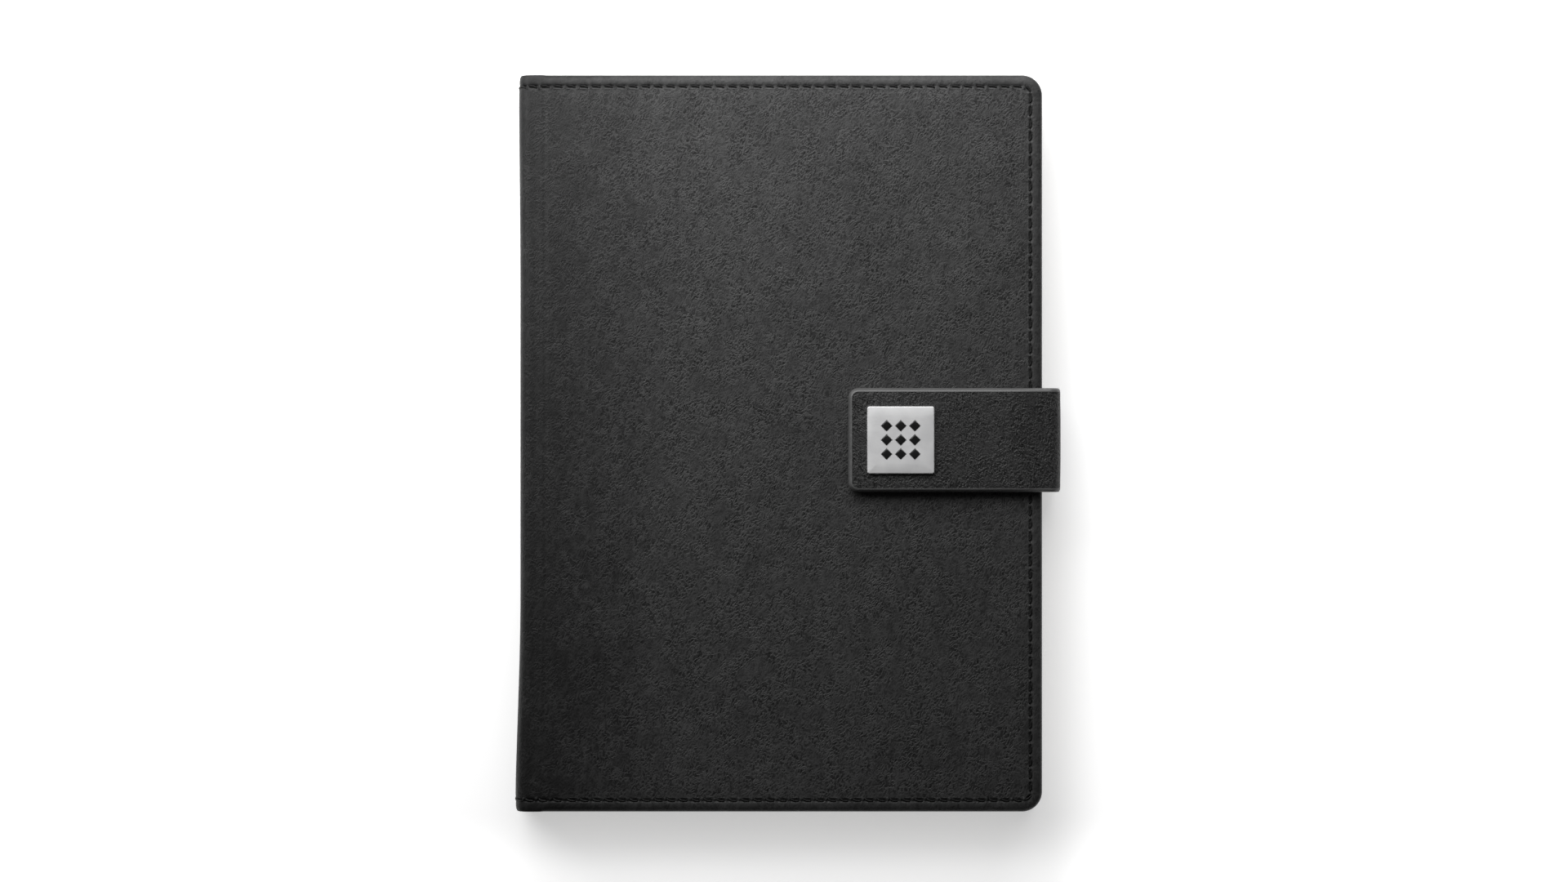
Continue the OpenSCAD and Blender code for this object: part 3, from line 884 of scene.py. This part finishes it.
def card_sleeve(name, material):
    """The back cover's sleeve: sewn down at three edges, and raised over the notebook's card."""
    low, high = node_box("back_sleeve")
    half_l, half_h = (high.x - low.x) / 2, (high.y - low.y) / 2
    base = low.z - high.z
    place = level((low.x + high.x) / 2, 0, high.z)

    def sewn(s, y):
        """0 where the sleeve is sewn to the lining, 1 where it lies over the card."""
        return smooth((min(half_l - s, half_h - abs(y)) - 2.3) / 0.9)

    def top(d, s, y):
        flat = (base + 0.5) * (1 - sewn(s, y))
        return base + 0.2 + (flat - base - 0.2) * rolled(d, 0.3)

    def bottom(d, s, y):
        return base + 0.2 - 0.2 * rolled(d, 0.3) + (0.35 if d > 0.2 else 0.0) * sewn(s, y)

    bm = bmesh.new()
    rings = (0.05, 0.15, 0.3, 1.2, 2.0, 2.3, 2.5, 2.75, 3.0, 3.2, 3.6)
    cuts = (steps(-half_l + 6, half_l - 6, 10), steps(-half_h + 6, half_h - 6, 10))
    sheet(bm, (half_l, half_h), (0, CORNER_R - LIP), rings, cuts, top, bottom, place)
    return finished(name, bm, material)


# ---- Notebook ----


def leaf_stack(name, node, leaves, material):
    """Pages in thin bundles whose edges are a little out of line, as cut and sewn sections are."""
    low, high = node_box(node)
    half_l, half_h = (high.x - low.x) / 2, (high.y - low.y) / 2
    thick = (high.z - low.z) / leaves
    rng = random.Random(leaves)
    bm = bmesh.new()
    for i in range(leaves):
        trim_l, trim_h = rng.uniform(0.0, 0.16), rng.uniform(0.0, 0.14)
        place = level((low.x + high.x - trim_l) / 2, rng.uniform(-0.05, 0.05), low.z + (i + 1) * thick)

        def top(d, s, y):
            return -thick / 2 + (thick / 2 - 0.004) * rolled(d, 0.14)

        def bottom(d, s, y):
            return -thick / 2 - (thick / 2 - 0.004) * rolled(d, 0.14)

        size = (half_l - trim_l / 2, half_h - trim_h)
        near = steps(-half_l + 0.8, -half_l + 16, 1.0 if i in (0, leaves - 1) else 2.0)
        cuts = (near + [0, half_l / 2], [-half_h / 2, 0, half_h / 2])
        sheet(bm, size, (0, 2.2), (0.04, 0.14, 0.4), cuts, top, bottom, place)
    return finished(name, bm, material)


def notebook_card(name, node, card, cloth):
    """One card of the notebook, its spine side wrapped in cloth tape."""
    low, high = node_box(node)
    half_l, half_h = (high.x - low.x) / 2, (high.y - low.y) / 2
    thick = high.z - low.z
    tape_w = 9.0

    def taped(s):
        return 1 - smooth((s + half_l - tape_w) / 0.25)

    def top(d, s, y):
        return -thick / 2 + (thick / 2 - 0.05 * (1 - taped(s))) * rolled(d, 0.2)

    def bottom(d, s, y):
        return -thick / 2 - thick / 2 * rolled(d, 0.2)

    def paint(d, s, y, upper):
        return 1 if s < -half_l + tape_w + 0.12 else 0

    bm = bmesh.new()
    near = steps(-half_l + 0.8, -half_l + tape_w - 0.6, 0.9)
    rim = steps(-half_l + tape_w - 0.1, -half_l + tape_w + 0.3, 0.1)
    sheet(
        bm, (half_l, half_h), (0, 2.2), (0.05, 0.2, 0.5),
        (near + rim + steps(-half_l + 20, half_l - 10, 18), steps(-half_h + 15, half_h - 15, 18)),
        top, bottom, level((low.x + high.x) / 2, 0, high.z), paint=paint,
    )
    return finished(name, bm, card, cloth)


def binding_tape(name, cloth):
    """The cloth that holds the sections together at the notebook's spine."""
    low, high = node_box("notebook_binding_tape")
    thick = high.x - low.x
    middle_z = (low.z + high.z) / 2

    def place(s, y, z):
        return Vector((low.x - z, y, middle_z + s))

    def top(d, s, y):
        return -thick / 2 * (1 - rolled(d, 0.25))

    def bottom(d, s, y):
        return -thick / 2 - thick / 2 * rolled(d, 0.25)

    bm = bmesh.new()
    half_l, half_h = (high.z - low.z) / 2, (high.y - low.y) / 2
    cuts = (steps(-half_l + 1, half_l - 1, 1.5), steps(-half_h + 10, half_h - 10, 15))
    sheet(bm, (half_l, half_h), (0, 0), (0.06, 0.25), cuts, top, bottom, place)
    return finished(name, bm, cloth)


# ---- Strap ----

strap_up = folded(RISER_X, -1, STRAP_MID_Z, 1, RISER_HALF, BEND_R, STRAP_Y)
strap_down = folded(RISER_X, -1, STRAP_MID_Z, -1, RISER_HALF, BEND_R, STRAP_Y)
STRAP_RINGS = (0.04, 0.1, 0.2, 0.34, 0.52, 0.72, 0.92, 1.15, 1.3, 1.6, 2.6)
bend_cuts = steps(RISER_HALF - 0.5, TAB_S + 0.5, 0.45)


def tab_lift(s):
    """How far the tab's outer leather is raised by the stiffener under it."""
    slope_start = TAB_S + BEND_X - SLOPE_START_X
    return TAB_LIFT * smooth((s - slope_start) / SLOPE_L)


def strap_outer_top(d, s, y):
    """The strap's face, with its edge rounded and a fine bead where the paint stops."""
    low = -STRAP_OUTER_T + 0.2
    bead = -0.05 * hump(d, STRAP_EDGE + 0.12, 0.12)
    crown = 0.10 * smooth((d - STRAP_EDGE) / 9)
    return low + (tab_lift(s) - 0.1 - low) * rolled(d, STRAP_EDGE) + bead + crown


def strap_outer_bottom(d, s, y):
    return -STRAP_OUTER_T + 0.2 - 0.2 * rolled(d, 0.2)


def strap_inner_top(d, s, y):
    return -STRAP_OUTER_T - 0.35 + 0.35 * rolled(d, 0.3)


def strap_inner_bottom(d, s, y):
    return -STRAP_OUTER_T - 0.35 - (STRAP_T - STRAP_OUTER_T - 0.35) * rolled(d, 0.45)


def painted(d, s, y, upper):
    return 1 if d < STRAP_EDGE else 0


def strap_layer(name, place, length, tip_r, inset, top, bottom, face, edge):
    """One leather of the strap, from the middle of its riser to an end, with its edge drawn in by inset."""
    bm = bmesh.new()
    size = (length - inset, STRAP_HALF_W - inset)
    radius = max(tip_r - inset, 0)
    lengthwise = bend_cuts + steps(TAB_S + 4, length - 4, 2.2) if length > TAB_S + 9 else bend_cuts
    cuts = (steps(0.5, RISER_HALF - 1.2, 2.5) + lengthwise, steps(-STRAP_HALF_W + 4, STRAP_HALF_W - 4, 3))
    sheet(bm, size, (radius, radius), STRAP_RINGS, cuts, top, bottom, place, halved=True, paint=painted)
    return finished(name, bm, face, edge)


# ---- Badge ----


def in_field(face):
    """Whether a face of the plate lies inside the square that the lozenges are cut in."""
    return all(max(abs(v.co.x), abs(v.co.y)) < FIELD + 0.01 for v in face.verts)


def is_lozenge(face):
    centre = face.calc_center_median()
    near = [abs(c / LOZENGE_PITCH - round(c / LOZENGE_PITCH)) < 0.01 for c in centre.xy]
    inside = max(abs(c) for c in centre.xy) < LOZENGE_PITCH * 1.2
    return all(near) and inside and face.calc_area() > LOZENGE**2 / 2 - 0.5


def badge_plate(name, metal):
    """A square plate with bevelled edges, nine lozenge-shaped wells and four studs."""
    low, high = node_box("badge_plate")
    side = high.x - low.x
    middle = Vector(((low.x + high.x) / 2, (low.y + high.y) / 2, 0))
    top_z = high.z
    thick = top_z - strap_high.z + 0.12
    bm = bmesh.new()
    bmesh.ops.create_cube(bm, size=1)
    bmesh.ops.scale(bm, vec=(side, side, thick), verts=bm.verts)
    upright = [e for e in bm.edges if abs(e.verts[0].co.z - e.verts[1].co.z) > 0.5]
    bmesh.ops.bevel(bm, geom=upright, offset=0.7, segments=4, profile=0.5, affect="EDGES", material=-1)
    rim = [e for e in bm.edges if all(v.co.z > thick * 0.4 for v in e.verts)]
    bmesh.ops.bevel(bm, geom=rim, offset=0.42, segments=3, profile=0.6, affect="EDGES", material=-1)
    half = LOZENGE / 2
    cuts = [((1, 0), x) for x in (-FIELD, FIELD)] + [((0, 1), y) for y in (-FIELD, FIELD)]
    for line in range(-2, 3):
        for edge in (-half, half):
            cuts += [((1, slant), line * LOZENGE_PITCH + edge) for slant in (1, -1)]
    for (along, across), offset in cuts:
        faces = [f for f in bm.faces if f.normal.z > 0.99 and (across * along == 0 or in_field(f))]
        parts = {e for f in faces for e in f.edges} | {v for f in faces for v in f.verts}
        normal = Vector((along, across, 0))
        point = normal * offset / normal.dot(normal)
        bmesh.ops.bisect_plane(
            bm, geom=faces + list(parts), dist=1e-5, plane_co=point, plane_no=normal
        )
    wells = [f for f in bm.faces if f.normal.z > 0.99 and is_lozenge(f)]
    bmesh.ops.inset_individual(bm, faces=wells, thickness=0.10, depth=-0.26, use_even_offset=True)
    for dx in (-1, 1):
        for dy in (-1, 1):
            at = Matrix.Translation((dx * 7.2, dy * 7.2, -thick / 2 - 1.2))
            bmesh.ops.create_cone(
                bm, cap_ends=True, segments=24, radius1=0.95, radius2=1, depth=2.6, matrix=at
            )
    bmesh.ops.translate(bm, vec=middle + Vector((0, 0, top_z - thick / 2)), verts=bm.verts)
    return finished(name, bm, metal, sharp=25)


def badge_inlay(name, material):
    """Nine lozenges of enamel, slightly domed, lying in the plate's wells."""
    low, high = node_box("badge_enamel")
    middle = (low + high) / 2
    bm = bmesh.new()
    for i in (-1, 0, 1):
        for j in (-1, 0, 1):
            spot = (middle.x + i * LOZENGE_PITCH, middle.y + j * LOZENGE_PITCH, middle.z)
            bmesh.ops.create_cone(
                bm, cap_ends=True, segments=4, radius1=LOZENGE / 2 - 0.16, radius2=LOZENGE / 2 - 0.2,
                depth=0.2, matrix=Matrix.Translation(spot),
            )
    top_edges = [e for e in bm.edges if all(v.co.z > middle.z for v in e.verts)]
    bmesh.ops.bevel(bm, geom=top_edges, offset=0.12, segments=2, profile=0.5, affect="EDGES", material=-1)
    return finished(name, bm, material, sharp=60)


# ---- Making it ----

cover_hide = leather("charcoal_leather", 0.026, cover=True)
strap_hide = leather("strap_leather", 0.018, grain=0.2)
lining_hide = leather("lining_leather", 0.026, grain=0.04, rough=0.6, cloud=0.1)
pocket_hide = leather("pocket_leather", 0.024, grain=0.05, rough=0.55, cloud=0.12)
backing_hide = leather("strap_backing_leather", 0.026, grain=0.04, rough=0.62, cloud=0.1)
strap_paint = edge_paint("strap_edge_paint", 0.09)
backing_paint = edge_paint("backing_edge_paint", 0.05)
thread = thread_finish()
ivory = paper()
black_card = pressed_card("black_card", 0.013)
cloth = book_cloth()
silver = satin_silver()

fold_z = COVER_T - FOLD_R
spine_to_front = {"start": metres(-HALF_W, 0, fold_z), "end": metres(FOLD_X, 0, COVER_T)}
back_to_spine = {"start": metres(FOLD_X, 0, 0), "end": metres(-HALF_W, 0, FOLD_R)}


def dress(piece, nodes, slot, body=None, blend=None):
    """Declares what a piece moves with, stands for and takes its finish from."""
    if blend:
        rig.blend(piece, *blend[0], **blend[1])
    else:
        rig.ride(piece, body)
    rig.replaces(piece, *nodes)
    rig.slot(piece, slot)


FRONT = (("spine", "front_cover"), spine_to_front)
BACK = (("back_cover", "spine"), back_to_spine)

front_skin = cover_skin("front_cover_leather", front_fold, 3.0, cover_hide)
dress(front_skin, ["front_leather", "spine_leather"], "cover_leather", blend=FRONT)
back_skin = cover_skin("back_cover_leather", back_fold, 7.0, cover_hide)
dress(back_skin, ["back_leather"], "cover_leather", blend=BACK)
front_inside = cover_lining("front_cover_lining", front_fold, lining_hide)
dress(front_inside, ["front_lining", "spine_lining"], "lining", blend=FRONT)
back_inside = cover_lining("back_cover_lining", back_fold, lining_hide)
dress(back_inside, ["back_lining"], "lining", blend=BACK)

pocket_x = node_box("front_slip_pocket")[0].x
sleeve_x = node_box("back_sleeve")[0].x


def after(x, thick):
    """A layer that starts at x on the inside of the cover, as a thickness along s."""
    return lambda s: thick if s > PANEL_S + x - FOLD_X else 0.0


front_seam = outer_thread("front_outer_thread", front_fold, thread)
dress(front_seam, ["front_outer_stitches", "spine_stitches"], "thread", blend=FRONT)
back_seam = outer_thread("back_outer_thread", back_fold, thread)
dress(back_seam, ["back_outer_stitches"], "thread", blend=BACK)
front_inner_seam = inner_thread("front_inner_thread", front_fold, after(pocket_x, 0.5), thread)
dress(front_inner_seam, ["front_inner_stitches"], "thread", blend=FRONT)
back_inner_seam = inner_thread("back_inner_thread", back_fold, after(sleeve_x, 0.5), thread)
dress(back_inner_seam, ["back_inner_stitches"], "thread", blend=BACK)

slip_pocket = pocket_piece("slip_pocket", "front_slip_pocket", (0, CORNER_R - LIP), pocket_hide)
dress(slip_pocket, ["front_slip_pocket"], "pocket", "front_cover")
for tier in ("upper", "middle", "lower"):
    slot_piece = pocket_piece(f"card_pocket_{tier}", f"card_slot_{tier}", (2.4, 2.4), pocket_hide)
    dress(slot_piece, [f"card_slot_{tier}"], "pocket", "front_cover")
sleeve = card_sleeve("back_card_sleeve", pocket_hide)
dress(sleeve, ["back_sleeve"], "pocket", "back_cover")

slot_low, slot_high = node_box("card_slot_stitches")
slot_rows = bmesh.new()
for row_x in (slot_low.x + 0.3, slot_high.x - 0.3):
    row = seam_row((row_x, slot_low.y), (row_x, slot_high.y))
    sew(slot_rows, row, level(0, 0, slot_high.z), lambda s, y: -0.1, outwards=-1)
slot_seams = finished("card_pocket_thread", slot_rows, thread, sharp=80)
dress(slot_seams, ["card_slot_stitches"], "thread", "front_cover")

rear_leaves = leaf_stack("rear_pages", "notebook_rear_sections", 20, ivory)
dress(rear_leaves, ["notebook_rear_sections"], "paper", "back_cover")
gutter = node_box("notebook_front_sections")[0]
turn_leaves = {"start": metres(gutter.x, 0, gutter.z), "end": metres(gutter.x + 13, 0, gutter.z)}
turn_card = {"start": metres(gutter.x, 0, gutter.z), "end": metres(gutter.x + 6, 0, gutter.z)}
front_pages = leaf_stack("front_pages", "notebook_front_sections", 8, ivory)
LEAVES = (("back_cover", "front_leaves"), turn_leaves)
dress(front_pages, ["notebook_front_sections"], "paper", blend=LEAVES)
front_card = notebook_card("notebook_front_card_cover", "notebook_front_card", black_card, cloth)
CARD = (("back_cover", "front_card"), turn_card)
dress(front_card, ["notebook_front_card"], "card", blend=CARD)
back_card = notebook_card("notebook_back_card_cover", "notebook_back_card", black_card, cloth)
dress(back_card, ["notebook_back_card"], "card", "back_cover")
tape = binding_tape("notebook_spine_tape", cloth)
dress(tape, ["notebook_binding_tape"], "binding_tape", "back_cover")

high_bend = STRAP_MID_Z + RISER_HALF
low_bend = STRAP_MID_Z - RISER_HALF
UPPER = (
    ("strap_riser", "strap_tab"),
    {"start": metres(RISER_X, 0, high_bend), "end": metres(BEND_X, 0, high_bend + BEND_R)},
)
LOWER = (
    ("back_cover", "strap_riser"),
    {"start": metres(BEND_X, 0, low_bend - BEND_R), "end": metres(RISER_X, 0, low_bend)},
)
ROOT_S = TAB_S + BEND_X - HALF_W + 3
tab_outer = ["strap_tab_outer", "strap_riser_outer"]
tab_inner = ["strap_tab_inner", "strap_riser_inner"]
OUTER = (0.0, strap_outer_top, strap_outer_bottom, strap_hide, strap_paint)
INNER = (0.2, strap_inner_top, strap_inner_bottom, backing_hide, backing_paint)
strap_parts = (
    ("strap_tab_leather", strap_up, TIP_S, 3.0, OUTER, tab_outer, "strap_leather", UPPER),
    ("strap_tab_backing", strap_up, TIP_S, 3.0, INNER, tab_inner, "strap_backing", UPPER),
    ("strap_root_leather", strap_down, ROOT_S, 0, OUTER, ["strap_tongue"], "strap_leather", LOWER),
    ("strap_root_backing", strap_down, ROOT_S, 0, INNER, ["strap_tongue"], "strap_backing", LOWER),
)
for name, place, length, tip_r, layer, nodes, slot, bend in strap_parts:
    dress(strap_layer(name, place, length, tip_r, *layer), nodes, slot, blend=bend)

plate = badge_plate("badge", silver)
dress(plate, ["badge_plate"], "badge_metal", "strap_tab")
inlay = badge_inlay("badge_inlay", enamel())
dress(inlay, ["badge_enamel"], "enamel", "strap_tab")

hidden_finishes = {
    fibre_board(): ["back_board", "front_board", "spine_board", "strap_tab_core"],
    wadding(): ["back_foam", "front_foam"],
    plain_metal("nickel", 0.6, 0.2): ["front_catch_magnet", "strap_magnet"],
    plain_metal("washer_steel", 0.45, 0.3): ["badge_washers"],
}
for material, nodes in hidden_finishes.items():
    for node in nodes:
        for slot in frame["nodes"][node].material_slots:
            slot.material = material


# ---- Studio ----


def studio():
    """A white table lit a little from beneath, with painted light in bands beyond the book's tail and right-hand edge,
    two soft lights beyond the book's head, and a camera.
    """
    bpy.ops.mesh.primitive_plane_add(size=6)
    floor = bpy.context.object
    floor.name = "table"
    f = Finish("white_table", Roughness=0.9, Specular_IOR_Level=0.1, Emission_Strength=0.49)
    f.set("Base Color", (0.9, 0.9, 0.9, 1))
    place = f.place()
    # Painted light: the table glows brighter beyond the book's tail and right-hand edge, lightening the far parts of
    # the shadows there.
    past_tail_light = f.ramp(f.split(place, "Y"), -0.131, -0.111, 0.4, 0.0)
    past_right_light = f.ramp(f.split(place, "X"), 0.08, 0.1, 0.0, 0.4)
    painted_floor_light = past_tail_light + past_right_light
    f.set("Emission Color", f.mix(painted_floor_light, (1, 1, 1, 1), (2, 2, 2, 1)))
    floor.data.materials.append(f.material)
    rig.stage(floor)

    world = bpy.data.worlds.new("studio")
    world.use_nodes = True
    world.node_tree.nodes["Background"].inputs["Color"].default_value = (1, 1, 1, 1)
    world.node_tree.nodes["Background"].inputs["Strength"].default_value = 0.04
    bpy.context.scene.world = world

    def softbox(name, place, size, power):
        lamp = bpy.data.lights.new(name, "AREA")
        lamp.shape = "RECTANGLE"
        lamp.size, lamp.size_y = size
        lamp.energy = power
        box = bpy.data.objects.new(name, lamp)
        box.location = place
        box.rotation_euler = (-box.location).to_track_quat("-Z", "Y").to_euler()
        box.visible_camera = False
        bpy.context.scene.collection.objects.link(box)

    softbox("upper", (-0.06, 0.50, 0.78), (0.8, 0.25), 1.0)
    softbox("window", (-0.085, 0.245, 0.21), (0.68, 0.22), 2.15)

    camera_data = bpy.data.cameras.new("overhead")
    camera = bpy.data.objects.new("overhead", camera_data)
    distance, view_w = 1.1, 0.4677
    camera_data.sensor_width = 36
    camera_data.lens = 36 * distance / view_w
    camera.location = (0.0009, 0.00073, COVER_T * MM + distance)
    bpy.context.scene.collection.objects.link(camera)
    bpy.context.scene.camera = camera
    bpy.context.scene.view_settings.view_transform = "Standard"


studio()

with open("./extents.json", "w") as out:
    boxes = {"cad": cad_bounds, "visual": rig.bounds()}
    json.dump({name: [list(corner) for corner in box] for name, box in boxes.items()}, out)
